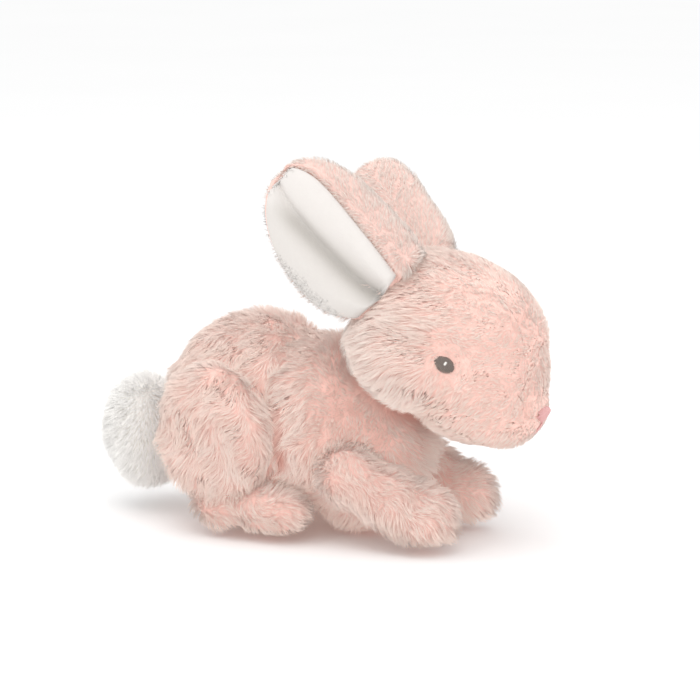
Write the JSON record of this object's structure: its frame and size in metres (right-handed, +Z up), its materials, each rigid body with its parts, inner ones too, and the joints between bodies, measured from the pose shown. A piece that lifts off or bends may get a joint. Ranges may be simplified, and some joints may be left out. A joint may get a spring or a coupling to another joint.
{
  "type": "stuffed rabbit",
  "caption": "Small crouching plush rabbit with upright ears that fold, a head that nods and turns, soft paws and a round tail.",
  "frame": {"origin": "centre of the overall box, on the surface that the belly, the hind feet and the paws rest on", "axes": "+X forward to the nose, +Y to the rabbit's left, +Z up"},
  "size_m": [0.1939, 0.0932, 0.1503],
  "materials": {
    "pink_plush": "long soft pile",
    "white_plush": "long soft pile",
    "ear_lining": "short smooth pile",
    "fibre_filling": "loose fibre",
    "eye_thread": "satin stitches",
    "pink_thread": "satin stitches"
  },
  "bodies": {
    "torso": {"torso_left_panel": "pink_plush", "torso_right_panel": "pink_plush", "belly_panel": "pink_plush", "torso_filling": "fibre_filling", "haunch_left_cover": "pink_plush", "haunch_left_filling": "fibre_filling", "haunch_right_cover": "pink_plush", "haunch_right_filling": "fibre_filling"},
    "neck": {"neck_filling": "fibre_filling", "neck_seam": "pink_thread"},
    "head": {"head_left_panel": "pink_plush", "head_right_panel": "pink_plush", "head_gusset": "pink_plush", "head_filling": "fibre_filling", "eye_left": "eye_thread", "eye_right": "eye_thread", "nose": "pink_thread", "mouth_stitch": "pink_thread"},
    "ear_left": {"ear_left_back": "pink_plush", "ear_left_lining": "ear_lining"},
    "ear_right": {"ear_right_back": "pink_plush", "ear_right_lining": "ear_lining"},
    "arm_left": {"arm_left_outer_panel": "pink_plush", "arm_left_inner_panel": "pink_plush", "arm_left_filling": "fibre_filling"},
    "arm_right": {"arm_right_outer_panel": "pink_plush", "arm_right_inner_panel": "pink_plush", "arm_right_filling": "fibre_filling"},
    "foot_left": {"foot_left_upper": "pink_plush", "foot_left_sole": "pink_plush", "foot_left_filling": "fibre_filling"},
    "foot_right": {"foot_right_upper": "pink_plush", "foot_right_sole": "pink_plush", "foot_right_filling": "fibre_filling"},
    "tail": {"tail_left_panel": "white_plush", "tail_right_panel": "white_plush", "tail_filling": "fibre_filling"}
  },
  "joints": [
    {"name": "head_nod", "type": "hinge", "parent": "torso", "child": "neck", "pos_m": [0.034, 0, 0.065], "axis": [0, 1, 0], "range_deg": [-10, 7], "stiffness_Nm_per_rad": 0.4},
    {"name": "head_turn", "type": "hinge", "parent": "neck", "child": "head", "pos_m": [0.034, 0, 0.065], "axis": [0, 0, 1], "range_deg": [-10, 10], "stiffness_Nm_per_rad": 0.2},
    {"name": "ear_left_fold", "type": "hinge", "parent": "head", "child": "ear_left", "pos_m": [0.036, 0.017, 0.098], "axis": [0.6854, 0.0721, 0.7246], "range_deg": [-20, 14], "stiffness_Nm_per_rad": 0.03},
    {"name": "ear_right_fold", "type": "hinge", "parent": "head", "child": "ear_right", "pos_m": [0.04, -0.018, 0.103], "axis": [-0.5831, -0.3817, -0.7172], "range_deg": [-20, 14], "stiffness_Nm_per_rad": 0.03},
    {"name": "arm_left_swing", "type": "hinge", "parent": "torso", "child": "arm_left", "pos_m": [0.022, 0.024, 0.029], "axis": [0, 0, 1], "range_deg": [0, 28], "stiffness_Nm_per_rad": 0.05},
    {"name": "arm_right_swing", "type": "hinge", "parent": "torso", "child": "arm_right", "pos_m": [0.022, -0.024, 0.029], "axis": [0, 0, 1], "range_deg": [-28, 0], "stiffness_Nm_per_rad": 0.05},
    {"name": "foot_left_flex", "type": "hinge", "parent": "torso", "child": "foot_left", "pos_m": [-0.033, 0.032, 0.012], "axis": [0, 1, 0], "range_deg": [-8, 12], "stiffness_Nm_per_rad": 0.1},
    {"name": "foot_right_flex", "type": "hinge", "parent": "torso", "child": "foot_right", "pos_m": [-0.033, -0.032, 0.012], "axis": [0, 1, 0], "range_deg": [-8, 12], "stiffness_Nm_per_rad": 0.1},
    {"name": "tail_wag", "type": "hinge", "parent": "torso", "child": "tail", "pos_m": [-0.068, 0, 0.034], "axis": [0, 0, 1], "range_deg": [-16, 16], "stiffness_Nm_per_rad": 0.03}
  ]
}
